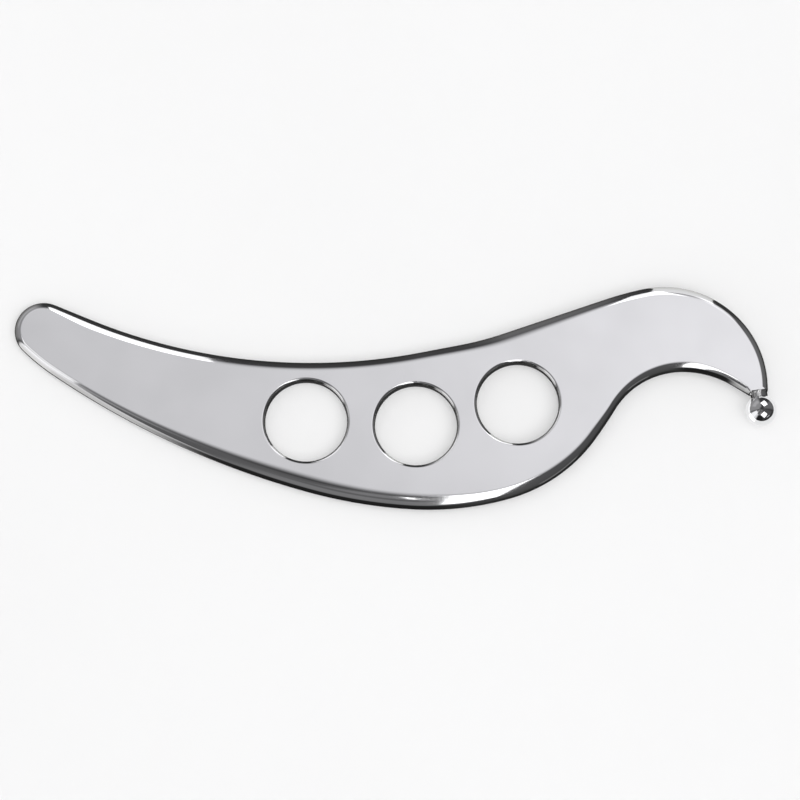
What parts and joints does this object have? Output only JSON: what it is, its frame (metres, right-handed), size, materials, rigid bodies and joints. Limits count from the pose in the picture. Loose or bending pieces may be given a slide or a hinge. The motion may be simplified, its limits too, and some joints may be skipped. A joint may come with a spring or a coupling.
{
  "type": "gua sha scraper",
  "caption": "S-curved polished steel massage scraper: rounded tail, finger holes, broad belly edge and a hooked beak with a small ball at its tip.",
  "frame": {"origin": "centre of the middle finger hole, halfway through the plate's thickness", "axes": "+Z out of the show face, through the plate; +X along the tool towards the beak and ball; +Y towards the hollow back"},
  "size_m": [0.2201, 0.0657, 0.009],
  "materials": {
    "mirror_steel": "polished",
    "ball_steel": "polished",
    "weld_steel": "satin",
    "pin_steel": "ground"
  },
  "bodies": {
    "root": {"blade": "mirror_steel", "tip_ball": "ball_steel", "neck_weld": "weld_steel", "tip_pin": "pin_steel"}
  },
  "joints": []
}
